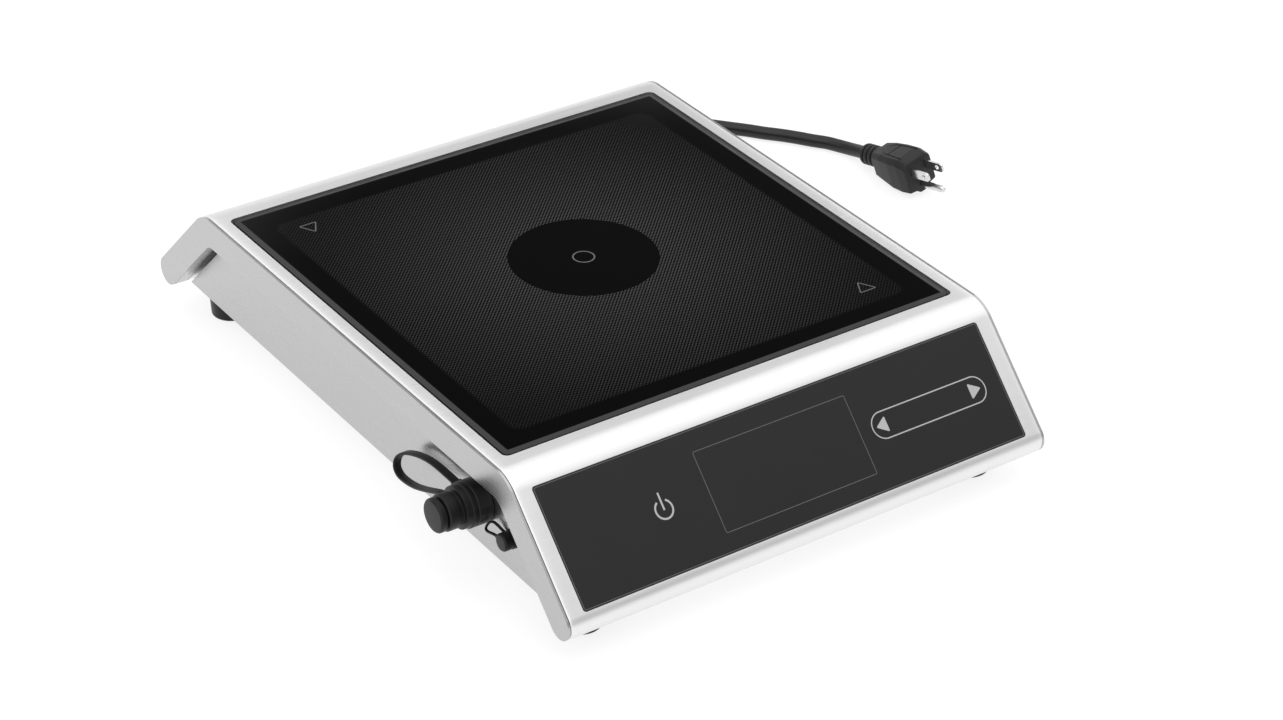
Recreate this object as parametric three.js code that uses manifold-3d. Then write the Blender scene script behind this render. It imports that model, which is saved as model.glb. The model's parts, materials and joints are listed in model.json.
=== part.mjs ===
// Countertop induction cooktop, in millimetres. +Z is up, the front faces -Y, the floor is z = 0.
// The shell is a C-shaped profile run from side to side: a flat top, a 45 degree slope at the front
// and at the rear, and a rounded lip under each slope. A base pan hangs inside it, set back all round.
import * as THREE from 'three';
import { mergeVertices } from 'three/addons/utils/BufferGeometryUtils.js';
import Module from 'manifold-3d';

const wasm = await Module();
wasm.setup();

// ---------------------------------------------------------------- driving dimensions
const GAP = 0.3; // clearance between pieces that touch

const TOP_Z = 89; // cooking surface above the floor
const HALF_W = 162.5; // half the width of the shell
const SHELL_T = 18.5; // thickness of the C-shaped shell, outer face to inner face
const SHEET = 1.5; // stainless sheet
const SLOPE_SUM = 255.4; // |y| + z anywhere on the outer face of a slope
const BEND_R = 23; // outer bend radius between top and slope
const LIP_R = SHELL_T / 2; // the lip under a slope is a full round
const LIP_Z = 25; // height of the lip's arc centre
const BAND_Z = TOP_Z - SHELL_T; // underside of the shell's flat part
const INNER_FILLET = 10;

const PAN_HALF_W = 152.2; // the pan is set back 10 mm from each side
const PAN_T = 1.2;
const PAN_FLOOR = 19;
const PAN_TOP = 80;
const PAN_SUM = 225.7; // |y| + z on the pan's sloped front wall
const REAR_WALL_Y = 146;
const TAB_X = 112; // rear corner tabs of the pan floor start here
const PAN_STEP_Z = 68.3; // the pan's sloped walls step in here, under the cover's flat part
const PAN_STEP_Y = 150; // half depth of the pan above the step

const GLASS_T = 4;
const GLASS_X = 150.9; // half sizes of the glass plate
const GLASS_Y = 149.1;
const CUTOUT_X = 152.5;
const CUTOUT_Y = 150.7;

const PANEL_START = 10; // control glass: distance down the front slope from the sharp corner
const PANEL_LENGTH = 70.5;
const PANEL_X = 150.5;

const COIL_X = -1; // the cooking zone's centre

const PROBE = { y: -126.8, z: 49 }; // axis of the large socket, along -X
const PROBE_CAP_TIP = 31; // how far the cap stands out from the pan's side wall
const CENTRE_X = (PAN_HALF_W + PROBE_CAP_TIP - HALF_W) / 2; // centres the body and the cap on x = 0
const SERVICE = { y: -160.8, z: 43.5 }; // axis of the small socket

const CORD_D = 9;
const EXIT = { x: 95, z: 31 }; // cord gland on the rear wall

// ---------------------------------------------------------------- materials
function paint(color, roughness, metalness) {
  return new THREE.MeshStandardMaterial({ color, roughness, metalness });
}

const steel = paint(0xc9cac8, 0.3, 1.0);
const zinc = paint(0xa9adb0, 0.45, 1.0);
const glassBlack = paint(0x0b0c0e, 0.06, 0.0);
const controlBlack = paint(0x2b2e31, 0.1, 0.0);
const rubber = paint(0x17181a, 0.75, 0.0);
const plastic = paint(0x1b1c1e, 0.5, 0.0);
const board = paint(0x1f5a34, 0.5, 0.0);
const copper = paint(0xb26a3c, 0.4, 1.0);
const ferrite = paint(0x3a3a3c, 0.7, 0.0);
const aluminium = paint(0xb8bcc0, 0.4, 1.0);
const silicone = paint(0x4a4d50, 0.7, 0.0);
const brass = paint(0xc7b27a, 0.3, 1.0);
const film = paint(0x2f4d8a, 0.5, 0.0);

// ---------------------------------------------------------------- solids
function toManifold(geometry) {
  const bare = geometry.clone();
  bare.deleteAttribute('normal');
  bare.deleteAttribute('uv');
  const merged = mergeVertices(bare, 1e-4);
  const index = merged.index ? merged.index.array : merged.getAttribute('position').array.map((_, i) => i);
  const mesh = new wasm.Mesh({
    numProp: 3,
    vertProperties: new Float32Array(merged.getAttribute('position').array),
    triVerts: new Uint32Array(index),
  });
  return new wasm.Manifold(mesh);
}

function toGeometry(manifold) {
  const mesh = manifold.getMesh();
  const geometry = new THREE.BufferGeometry();
  geometry.setAttribute('position', new THREE.BufferAttribute(new Float32Array(mesh.vertProperties), 3));
  geometry.setIndex(new THREE.BufferAttribute(new Uint32Array(mesh.triVerts), 1));
  return geometry;
}

const join = (...parts) => parts.map(toManifold).reduce((a, b) => a.add(b));
const cut = (solid, ...tools) => tools.reduce((a, tool) => a.subtract(toManifold(tool)), solid);

// the box between two corners
function block(x0, x1, y0, y1, z0, z1) {
  const geometry = new THREE.BoxGeometry(x1 - x0, y1 - y0, z1 - z0);
  return geometry.translate((x0 + x1) / 2, (y0 + y1) / 2, (z0 + z1) / 2);
}

// extrudes a shape drawn in (x, y) from z0 to z1
function alongZ(shape, z0, z1, segments = 8) {
  const options = { depth: z1 - z0, bevelEnabled: false, curveSegments: segments };
  return new THREE.ExtrudeGeometry(shape, options).translate(0, 0, z0);
}

// extrudes a shape drawn in (y, z) from x0 to x1
function alongX(shape, x0, x1, segments = 8) {
  const options = { depth: x1 - x0, bevelEnabled: false, curveSegments: segments };
  const geometry = new THREE.ExtrudeGeometry(shape, options);
  const axes = new THREE.Matrix4().makeBasis(
    new THREE.Vector3(0, 1, 0), new THREE.Vector3(0, 0, 1), new THREE.Vector3(1, 0, 0));
  return geometry.applyMatrix4(axes).translate(x0, 0, 0);
}

// extrudes a shape drawn on the front slope, in (x, -distance down from the sharp corner), between
// two depths under the outer face
function onSlope(shape, depth0, depth1, segments = 8) {
  const options = { depth: depth1 - depth0, bevelEnabled: false, curveSegments: segments };
  const geometry = new THREE.ExtrudeGeometry(shape, options);
  const half = Math.SQRT1_2;
  const axes = new THREE.Matrix4().makeBasis(
    new THREE.Vector3(1, 0, 0), new THREE.Vector3(0, half, half), new THREE.Vector3(0, -half, half));
  return geometry.translate(0, 0, -depth1).applyMatrix4(axes).translate(0, TOP_Z - SLOPE_SUM, TOP_Z);
}

function polygon(points) {
  return new THREE.Shape(points.map(([a, b]) => new THREE.Vector2(a, b)));
}

function roundedRect(x0, x1, y0, y1, r) {
  const shape = new THREE.Shape();
  shape.moveTo(x0 + r, y0);
  shape.lineTo(x1 - r, y0);
  shape.absarc(x1 - r, y0 + r, r, -Math.PI / 2, 0);
  shape.lineTo(x1, y1 - r);
  shape.absarc(x1 - r, y1 - r, r, 0, Math.PI / 2);
  shape.lineTo(x0 + r, y1);
  shape.absarc(x0 + r, y1 - r, r, Math.PI / 2, Math.PI);
  shape.lineTo(x0, y0 + r);
  shape.absarc(x0 + r, y0 + r, r, Math.PI, Math.PI * 1.5);
  return shape;
}

// a solid of revolution about +Z from [radius, z] pairs that start and end on the axis or close
function turned(profile, segments = 32) {
  const points = profile.map(([r, z]) => new THREE.Vector2(r, z));
  if (THREE.ShapeUtils.area(points) < 0) {
    points.reverse();
  }
  const geometry = new THREE.LatheGeometry(points, segments);
  return geometry.rotateX(Math.PI / 2);
}

// joins closed outlines of [x, y, z] points, of equal point counts, into one closed solid
function loft(sections) {
  const count = sections[0].length;
  const index = [];
  for (let s = 0; s + 1 < sections.length; s += 1) {
    for (let i = 0; i < count; i += 1) {
      const a = s * count + i;
      const b = s * count + ((i + 1) % count);
      index.push(a, b, a + count, b, b + count, a + count);
    }
  }
  const last = (sections.length - 1) * count;
  for (let i = 1; i + 1 < count; i += 1) {
    index.push(0, i + 1, i);
    index.push(last, last + i, last + i + 1);
  }
  const geometry = new THREE.BufferGeometry();
  geometry.setAttribute('position', new THREE.Float32BufferAttribute(sections.flat(2), 3));
  geometry.setIndex(index);
  return geometry;
}

function ring(inner, outer, z0, z1) {
  return [[inner, z0], [outer, z0], [outer, z1], [inner, z1], [inner, z0]];
}

// a hexagonal nut about +Z with a round bore
function hexNut(bore, r, z0, z1) {
  const hole = turned([[0, z0 - 1], [bore, z0 - 1], [bore, z1 + 1], [0, z1 + 1]], 24);
  return toGeometry(cut(toManifold(turned([[0, z0], [r, z0], [r, z1], [0, z1]], 6)), hole));
}

const atWall = (geometry, axis) => geometry.rotateY(-Math.PI / 2).translate(-PAN_HALF_W, axis.y, axis.z);
const atRear = (geometry) => geometry.rotateX(-Math.PI / 2).translate(EXIT.x, REAR_WALL_Y, EXIT.z);

const nodes = [];
function add(name, solid, material) {
  const geometry = solid.isBufferGeometry ? solid : toGeometry(solid);
  const mesh = new THREE.Mesh(geometry, material);
  mesh.name = name;
  nodes.push(mesh);
}

// ---------------------------------------------------------------- shell profile
const degrees = (a) => (a * Math.PI) / 180;

function arc(cy, cz, r, from, to, steps) {
  const points = [];
  for (let i = 0; i <= steps; i += 1) {
    const a = degrees(from + ((to - from) * i) / steps);
    points.push([cy + r * Math.cos(a), cz + r * Math.sin(a)]);
  }
  return points;
}

// the line inside the skin at a depth below the outer face, from the rear inner edge over the top
// to the front inner edge
function skinLine(depth) {
  const lipY = SLOPE_SUM - LIP_R * Math.SQRT2 - LIP_Z;
  const bendZ = TOP_Z - BEND_R;
  const bendY = SLOPE_SUM - BEND_R * Math.SQRT2 - bendZ;
  const rear = [
    [SLOPE_SUM - (SHELL_T - depth) * Math.SQRT2 - BAND_Z, BAND_Z],
    ...arc(lipY, LIP_Z, LIP_R - depth, 225, 405, 16),
    ...arc(bendY, bendZ, BEND_R - depth, 45, 90, 6),
  ];
  const front = rear.map(([y, z]) => [-y, z]).reverse();
  return [...rear, ...front];
}

function skinStrip(depth0, depth1) {
  return polygon([...skinLine(depth0), ...skinLine(depth1).reverse()]);
}

// the shell's inner outline: up the front lip's inner face, along the band, down the rear lip's
function innerLine(offset) {
  const sum = SLOPE_SUM - (SHELL_T - offset) * Math.SQRT2;
  const z = BAND_Z + offset;
  const r = INNER_FILLET + offset;
  const y = sum - z;
  const run = r * Math.tan(degrees(22.5));
  const rear = arc(y - run, z - r, r, 90, 45, 4);
  return { sum, rear };
}

// the whole C outline of an end plate
function plateOutline() {
  const lipY = SLOPE_SUM - LIP_R * Math.SQRT2 - LIP_Z;
  const bendZ = TOP_Z - BEND_R;
  const bendY = SLOPE_SUM - BEND_R * Math.SQRT2 - bendZ;
  const rear = [
    ...innerLine(0).rear,
    ...arc(lipY, LIP_Z, LIP_R, 225, 405, 16),
    ...arc(bendY, bendZ, BEND_R, 45, 90, 6),
  ];
  return polygon([...rear, ...rear.map(([y, z]) => [-y, z]).reverse()]);
}

// the flange along the inside of the C, from lip to lip
function flangeOutline() {
  const lipZ = LIP_Z - LIP_R * Math.SQRT1_2;
  const face = innerLine(0);
  const back = innerLine(SHEET);
  const lowRear = [...face.rear, [face.sum - lipZ, lipZ]];
  const highRear = [...back.rear, [back.sum - lipZ - SHEET, lipZ + SHEET]];
  const mirror = (points) => points.map(([y, z]) => [-y, z]).reverse();
  const low = [...mirror(lowRear), ...lowRear];
  const high = [...mirror(highRear), ...highRear];
  return polygon([...low, ...high.reverse()]);
}

// the zone inside the lips, up to a given |y| + z
function lipZone(sum, side) {
  const top = BAND_Z + SHEET + 0.1;
  const points = [[sum - top, top], [sum, 0], [120, 0], [120, top]];
  return polygon(points.map(([y, z]) => [side * y, z]));
}

// ---------------------------------------------------------------- shell
const RETURN_SUM = 231.8; // beyond the pan's width the cover's inner returns stop at this |y| + z

function topCover() {
  let cover = toManifold(alongX(skinStrip(0, SHEET), -HALF_W, HALF_W));
  const cutout = roundedRect(-CUTOUT_X, CUTOUT_X, -CUTOUT_Y, CUTOUT_Y, 4);
  cover = cut(cover, alongZ(cutout, TOP_Z - 5, TOP_Z + 5));
  const panel = roundedRect(
    -PANEL_X - GAP, PANEL_X + GAP, -PANEL_START - PANEL_LENGTH - GAP, -PANEL_START + GAP, 2);
  cover = cut(cover, onSlope(panel, -3, 4));
  for (const side of [-1, 1]) {
    for (const [x0, x1] of [[-HALF_W - 1, -PAN_HALF_W], [PAN_HALF_W, HALF_W + 1]]) {
      cover = cut(cover, alongX(lipZone(RETURN_SUM, side), x0, x1));
    }
  }
  return cover;
}

// one end plate, on the right (side = 1) or on the left (side = -1)
function sidePlate(side) {
  const outer = HALF_W;
  const inner = HALF_W - SHEET;
  const root = PAN_HALF_W + GAP;
  let plate = join(alongX(plateOutline(), inner, outer), alongX(flangeOutline(), root, inner + 0.5));
  let seam = toManifold(alongX(skinStrip(-1, SHEET + GAP), root - 1, outer + 1));
  for (const end of [-1, 1]) {
    seam = cut(seam, alongX(lipZone(RETURN_SUM - GAP * Math.SQRT2, end), root - 2, outer + 2));
  }
  plate = plate.subtract(seam);
  return side > 0 ? plate : plate.mirror([1, 0, 0]);
}

// ---------------------------------------------------------------- base pan
function panOutline(inset) {
  const sum = PAN_SUM - inset * Math.SQRT2;
  const low = PAN_FLOOR + inset;
  const stepZ = PAN_STEP_Z - inset;
  const rear = [
    [sum - low, low], [sum - stepZ, stepZ], [PAN_STEP_Y - inset, stepZ], [PAN_STEP_Y - inset, PAN_TOP],
  ];
  return [...rear, ...rear.map(([y, z]) => [-y, z]).reverse()];
}

const STANDOFFS = [[-132, -48], [22, -48], [-132, 110], [22, 110]];
const FEET = [[-134, -190], [134, -190], [-134, 190], [134, 190]];
const FAN = { x: 86, y: 10, size: 92, z: 21, depth: 25 };
const LOUVRE = { x: -100, pitch: 14, wide: 5, low: 36, high: 66, count: 12 }; // in the rear wall

function basePan() {
  const w = PAN_HALF_W;
  const hollow = panOutline(PAN_T).map(([y, z]) => [y, z === PAN_TOP ? z + 1 : z]);
  let pan = toManifold(alongX(polygon(panOutline(0)), -w, w));
  pan = cut(pan, alongX(polygon(hollow), -w + PAN_T, w - PAN_T));
  // the rear is open behind the rear wall, apart from the corner tabs and the side walls
  const wallZ = PAN_TOP - 2;
  pan = cut(pan, block(-w + PAN_T, w - PAN_T, REAR_WALL_Y, 230, PAN_FLOOR + PAN_T, PAN_TOP + 1));
  pan = cut(pan, block(-TAB_X, TAB_X, REAR_WALL_Y, 230, PAN_FLOOR - 1, PAN_TOP));
  pan = pan.add(toManifold(block(-w + 0.1, w - 0.1, REAR_WALL_Y - PAN_T, REAR_WALL_Y, PAN_FLOOR, wallZ)));
  for (const side of [-1, 1]) {
    const x0 = side > 0 ? TAB_X : -TAB_X - PAN_T;
    pan = pan.add(toManifold(block(x0, x0 + PAN_T, REAR_WALL_Y - 0.1, 200, PAN_FLOOR, PAN_FLOOR + 8)));
  }
  for (const [x, y] of STANDOFFS) {
    pan = pan.add(toManifold(turned([[0, 20], [3, 20], [3, 26.7], [0, 26.7]], 12).translate(x, y, 0)));
  }
  const screwHole = [[0, 17], [2.4, 17], [2.4, 23], [0, 23]];
  const holes = FEET.map(([x, y]) => turned(screwHole, 12).translate(x, y, 0));
  // the fan's inlet grille in the floor
  for (let i = -4; i <= 4; i += 1) {
    const half = 40 - Math.abs(i) * 4;
    const y = FAN.y + i * 9;
    holes.push(alongZ(roundedRect(FAN.x - half, FAN.x + half, y - 2.2, y + 2.2, 2), 17, 22, 4));
  }
  for (let i = 0; i < LOUVRE.count; i += 1) {
    const x = LOUVRE.x + i * LOUVRE.pitch;
    holes.push(block(x, x + LOUVRE.wide, REAR_WALL_Y - 3, REAR_WALL_Y + 2, LOUVRE.low, LOUVRE.high));
  }
  const bore = (r, axis) => atWall(turned([[0, -4], [r, -4], [r, 2], [0, 2]], 24), axis);
  holes.push(bore(9.3, PROBE), bore(4.3, SERVICE));
  const e = 6.8; // half the cord gland's square hole
  holes.push(block(EXIT.x - e, EXIT.x + e, REAR_WALL_Y - 3, REAR_WALL_Y + 2, EXIT.z - e, EXIT.z + e));
  return cut(pan, ...holes);
}

// ---------------------------------------------------------------- glass and its seat
function glassTop() {
  const bevel = 3.6;
  const drop = 0.7;
  const outline = (inset) => roundedRect(
    -GLASS_X + inset, GLASS_X - inset, -GLASS_Y + inset, GLASS_Y - inset, Math.max(3.5 - inset, 1));
  const shape = outline(bevel);
  const geometry = new THREE.ExtrudeGeometry(shape, {
    depth: GLASS_T - drop, bevelEnabled: true, bevelThickness: drop, bevelSize: bevel, bevelSegments: 1,
    curveSegments: 6,
  });
  geometry.translate(0, 0, TOP_Z - GLASS_T);
  // the underside stays flat: only the upper edge is bevelled
  const square = alongZ(outline(0), TOP_Z - GLASS_T, TOP_Z - drop, 6);
  const keep = block(-200, 200, -200, 200, TOP_Z - GLASS_T, TOP_Z);
  return toManifold(geometry).intersect(toManifold(keep)).add(toManifold(square));
}

function frameRing(outerX, outerY, wide, z0, z1, r) {
  const x = outerX - wide;
  const y = outerY - wide;
  const outer = roundedRect(-outerX, outerX, -outerY, outerY, r);
  const inner = roundedRect(-x, x, -y, y, Math.max(r - wide, 1));
  return cut(toManifold(alongZ(outer, z0, z1, 5)), alongZ(inner, z0 - 1, z1 + 1, 5));
}

function glassSeal() {
  const foot = frameRing(CUTOUT_X - GAP, CUTOUT_Y - GAP, 7, TOP_Z - 5.8, TOP_Z - GLASS_T - GAP, 3.7);
  const edge = frameRing(CUTOUT_X - GAP, CUTOUT_Y - GAP, 0.95, TOP_Z - 5, TOP_Z - 0.9, 3.7);
  return foot.add(edge);
}

function glassFrame() {
  const shelf = frameRing(156, 154.2, 11, TOP_Z - 7.6, TOP_Z - 6.1, 6);
  const upstand = frameRing(156, 154.2, 1.5, TOP_Z - 7, TOP_Z - SHEET - GAP, 6);
  return shelf.add(upstand);
}

// ---------------------------------------------------------------- controls
function controls() {
  const far = -PANEL_START - PANEL_LENGTH;
  const glass = roundedRect(-PANEL_X, PANEL_X, far, -PANEL_START, 1.7);
  add('control_glass', onSlope(glass, 0, 2.6), controlBlack);
  const outer = roundedRect(-149, 149, far + 3, -PANEL_START - 2, 3);
  const window = roundedRect(-141, 141, far + 9, -PANEL_START - 8, 2);
  add('control_frame', cut(toManifold(onSlope(outer, 2.9, 5.2)), onSlope(window, 2, 6)), plastic);
  add('display_module', onSlope(roundedRect(-53.5, 49, far + 21, far + 60, 1), 3.2, 6.6), plastic);
  add('control_board', onSlope(roundedRect(-140, 140, far + 8, -PANEL_START - 7, 2), 6.9, 8.5), board);
}

// ---------------------------------------------------------------- sockets on the left wall
// a strap's end lug, between two distances out from the pan's side wall and two offsets along Y,
// tilted about the socket's axis
function lug(axis, [out0, out1], [y0, y1], halfZ, tilt) {
  const bar = block(-PAN_HALF_W - out1, -PAN_HALF_W - out0, y0, y1, -halfZ, halfZ);
  return bar.rotateX(degrees(tilt)).translate(0, axis.y, axis.z);
}

// a flat band along [y, z, distance out from the pan's side wall] points, its width along X
function rubberStrap(points, wide, thick) {
  const route = points.map(([y, z, out]) => new THREE.Vector3(-PAN_HALF_W - out, y, z));
  const curve = new THREE.CatmullRomCurve3(route, false, 'centripetal');
  const along = curve.getSpacedPoints(points.length * 3);
  return loft(along.map((p, i) => {
    const ahead = along[Math.min(i + 1, along.length - 1)];
    const behind = along[Math.max(i - 1, 0)];
    const across = new THREE.Vector2(behind.z - ahead.z, ahead.y - behind.y).setLength(thick / 2);
    const corner = (sx, sn) => [p.x + (sx * wide) / 2, p.y + sn * across.x, p.z + sn * across.y];
    return [corner(-1, -1), corner(-1, 1), corner(1, 1), corner(1, -1)];
  }));
}

function probeSocket() {
  const { y, z } = PROBE;
  const jack = [
    [5, -12], [9, -12], [9, GAP], [13.2, GAP], [14, 1.1], [14, 8.7], [13.2, 9.5], [9, 9.5],
    [9, 14], [5, 14], [5, -12],
  ];
  const root = lug(PROBE, [2.6, 8.6], [12, 16.4], 1.2, 11);
  add('probe_socket', join(atWall(turned(jack), PROBE), root), plastic);
  add('probe_socket_nut', atWall(hexNut(9.3, 13, -7, -1.5), PROBE), brass);
  const cap = [
    [0, PROBE_CAP_TIP], [8.2, PROBE_CAP_TIP], [9.2, 30], [9.2, 28.6], [8.6, 28.4], [8.6, 27.7],
    [10.9, 27.5], [10.9, 16.4], [12.6, 15.9], [12.6, 13.2], [14.2, 13], [14.2, 9.8], [9.3, 9.8],
    [9.3, 14.3], [4.6, 14.3], [4.6, 6], [0, 6], [0, PROBE_CAP_TIP],
  ];
  const pull = lug(PROBE, [11, 16.8], [12, 16.4], 1.2, -3);
  add('probe_cap', join(atWall(turned(cap), PROBE), pull), rubber);
  // out and back in one loop, from the cap's lug to the socket's
  const route = [
    [y + 17, z - 1, 14], [y + 21, z - 2.5, 14], [y + 28, z - 5.6, 14], [y + 36, z - 9.1, 14],
    [y + 46, z - 12.8, 13.8], [y + 56, z - 15.3, 13.2], [y + 65, z - 16.3, 12.2],
    [y + 70.2, z - 14.4, 11], [y + 71, z - 10.2, 9.8], [y + 67.5, z - 5.4, 8.5], [y + 60, z - 1.4, 7.3],
    [y + 49, z + 1.8, 6.2], [y + 38, z + 3.3, 5.7], [y + 26, z + 3.4, 5.6], [y + 17, z + 3.3, 5.6],
  ];
  add('probe_strap', rubberStrap(route, 5, 1.6), rubber);
}

function serviceSocket() {
  const { y, z } = SERVICE;
  const socket = [[0, -8], [4, -8], [4, GAP], [5.6, GAP], [5.6, 2.4], [0, 2.4], [0, -8]];
  add('service_socket_nut', atWall(hexNut(4.3, 6.6, -5, -1.5), SERVICE), brass);
  const cap = [[0, 2.7], [5.4, 2.7], [5.4, 4.6], [4.7, 5], [4.7, 8.8], [3.9, 9.9], [0, 9.9], [0, 2.7]];
  const root = lug(SERVICE, [GAP, 2.2], [4.1, 7], 0.8, 0).translate(0, 0, 1.6);
  add('service_socket', join(atWall(turned(socket, 20), SERVICE), root), plastic);
  const pull = lug(SERVICE, [7, 8.8], [3.5, 6.4], 0.8, 0);
  add('service_cap', join(atWall(turned(cap, 20), SERVICE), pull), rubber);
  const route = [
    [y + 6.8, z, 7.9], [y + 10, z - 0.6, 7.9], [y + 14, z - 1.2, 7.6], [y + 17.4, z - 0.9, 6.6],
    [y + 18.2, z + 1.2, 4.8], [y + 15.6, z + 2.6, 3], [y + 11.5, z + 2.4, 1.8], [y + 7.4, z + 1.7, 1.3],
  ];
  add('service_strap', rubberStrap(route, 1.7, 1.2), rubber);
}

// ---------------------------------------------------------------- inside
function heatsink() {
  const y0 = -18;
  const fins = 12;
  const pitch = 10;
  const points = [[y0, 30], [y0 + (fins - 1) * pitch + 2, 30]];
  for (let i = fins - 1; i >= 0; i -= 1) {
    const y = y0 + i * pitch;
    points.push([y + 2, 60], [y, 60]);
    if (i > 0) {
      points.push([y, 35], [y - pitch + 2, 35]);
    }
  }
  return alongX(polygon(points), -62, 16);
}

function inductor() {
  const earAngles = [90, 210, 330];
  const ears = earAngles.map((a) => block(95, 130, -7, 7, 70, 73).rotateZ(degrees(a)));
  const tray = toGeometry(join(turned(ring(12, 100, 70, 73), 48), ...ears));
  add('coil_tray', tray.translate(COIL_X, 0, 0), plastic);
  const low = PAN_FLOOR + PAN_T + GAP;
  earAngles.forEach((a, i) => {
    const post = turned([[0, low], [4.5, low], [4.5, 69.7], [0, 69.7]], 12);
    post.translate(COIL_X + 124 * Math.cos(degrees(a)), 124 * Math.sin(degrees(a)), 0);
    add(`coil_post_${i + 1}`, post, zinc);
  });
  const windings = [[22, 73.3], [95, 73.3]];
  const turns = 12;
  const pitch = (95 - 22) / turns;
  for (let i = turns - 1; i >= 0; i -= 1) {
    const r = 22 + i * pitch;
    windings.push([r + pitch, 77.2], [r + pitch / 2, 78.6]);
  }
  windings.push([22, 77.2], [22, 73.3]);
  add('induction_coil', turned(windings, 64).translate(COIL_X, 0, 0), copper);
  for (let i = 0; i < 6; i += 1) {
    const bar = block(32, 90, -6, 6, 64.6, 69.7).rotateZ(degrees(60 * i)).translate(COIL_X, 0, 0);
    add(`ferrite_bar_${i + 1}`, bar, ferrite);
  }
  const sensor = [[0, 69], [5, 69], [5, 76], [9, 76], [9, 82], [6, 84.6], [0, 84.6]];
  add('glass_sensor', turned(sensor, 20).translate(COIL_X, 0, 0), silicone);
}

function electronics() {
  let pcb = toManifold(block(-140, 30, -55, 118, 27, 28.6));
  pcb = cut(pcb, block(-40, -30, 100, 120, 26, 30));
  add('power_board', pcb, board);
  add('heatsink', heatsink(), aluminium);
  add('capacitor_1', block(-128, -84, 20, 42, 28.9, 58), film);
  add('capacitor_2', block(-128, -84, 52, 70, 28.9, 54), film);
  add('mains_choke', turned(ring(8, 17, 0, 13), 24).translate(-106, 96, 28.9), copper);
  add('terminal_block', block(70, 112, 118, 136, 20.5, 36), plastic);
}

function fan() {
  const { x, y, size, z, depth } = FAN;
  const half = size / 2;
  const bore = turned([[0, -1], [43.5, -1], [43.5, depth + 1], [0, depth + 1]], 48);
  const duct = cut(toManifold(alongZ(roundedRect(-half, half, -half, half, 5), 0, depth, 3)), bore);
  const hub = turned([[0, 0], [20, 0], [20, 3], [0, 3]], 24);
  const struts = [45, 135, 225, 315].map((a) => block(0, 45, -2, 2, 0, 3).rotateZ(degrees(a)));
  const frame = duct.add(join(hub, ...struts));
  add('fan_frame', toGeometry(frame).translate(x, y, z), plastic);
  const boss = turned([[0, z + 3.5], [19, z + 3.5], [19, z + 22], [17, z + 24], [0, z + 24]], 24);
  const blades = [];
  for (let i = 0; i < 7; i += 1) {
    const blade = block(17, 41.5, -1, 1, -9, 9).rotateX(degrees(48));
    blades.push(blade.translate(0, 0, z + 13.5).rotateZ(degrees((360 / 7) * i)));
  }
  add('fan_rotor', toGeometry(join(boss, ...blades)).translate(x, y, 0), plastic);
}

// ---------------------------------------------------------------- feet
function feet() {
  const names = ['front_left', 'front_right', 'rear_left', 'rear_right'];
  const foot = [
    [5, 0.6], [5.6, 0], [11.7, 0], [12.5, 0.8], [13.5, 18.7], [2.4, 18.7], [2.4, 13], [5, 13], [5, 0.6],
  ];
  const screw = [[0, 9.9], [4.4, 9.9], [4.4, 12.7], [2, 12.7], [2, 26], [0, 26]];
  FEET.forEach(([x, y], i) => {
    add(`foot_${names[i]}`, turned(foot, 32).translate(x, y, 0), rubber);
    add(`foot_screw_${names[i]}`, turned(screw, 12).translate(x, y, 0), zinc);
  });
}

// ---------------------------------------------------------------- mains cord
const CORD_LEAD = [
  [95, 172.5, 31], [95, 176, 31], [95, 184, 29.6], [95, 193, 25.2], [95, 202, 17.8], [95, 212, 9.8],
  [95, 222, 5.7], [95, 232, 4.5], [95, 240, 4.5], [99.8, 258, 4.5], [113, 271.2, 4.5], [131, 276, 4.5],
  [149, 271.2, 4.5], [162.2, 258, 4.5], [167, 240, 4.5], [166.2, 231.3, 4.5], [162.8, 223.1, 4.5],
  [159.8, 214.9, 4.5], [158.7, 206.2, 4.5], [158.7, 190, 4.5], [158.7, 170, 4.5], [158.6, 150.3, 4.5],
];
const CORD_FREE = [
  [213.9, 154.1, 13.4], [211.9, 158.4, 13], [208.4, 163.4, 12.2], [200.6, 171.3, 10.2],
  [193.4, 177.9, 8], [187.2, 188.7, 5.8], [185, 201, 4.7], [187.2, 213.3, 4.5], [193.4, 224.1, 4.5],
  [203, 232.2, 4.5], [214.7, 236.5, 4.5], [227.3, 236.5, 4.5], [239, 232.2, 4.5], [248.2, 224.6, 4.5],
  [254.6, 217.3, 4.5], [262, 208.8, 4.5], [269.4, 200.3, 4.5], [276.3, 191.4, 4.5], [283.7, 183.1, 4.5],
  [290.7, 174.3, 4.5], [297.2, 165, 4.5], [304, 156.1, 4.5], [306.7, 150.6, 4.6], [308.9, 144.9, 4.9],
  [310.5, 138.5, 5.7], [311.5, 130.5, 7.3],
];
const HANK = { x: 187.5, y0: -33, y1: 127, fold: 28.8, layers: 2 };

function tube(points, steps) {
  const stops = points.map((p) => new THREE.Vector3(...p));
  const route = new THREE.CatmullRomCurve3(stops, false, 'centripetal');
  const sides = 10;
  const r = CORD_D / 2;
  const section = [];
  for (let i = 0; i < sides; i += 1) {
    const a = (Math.PI * 2 * (i + 0.5)) / sides;
    section.push([r * Math.cos(a), r * Math.sin(a)]);
  }
  return new THREE.ExtrudeGeometry(polygon(section), { steps, extrudePath: route, bevelEnabled: false });
}

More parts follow.
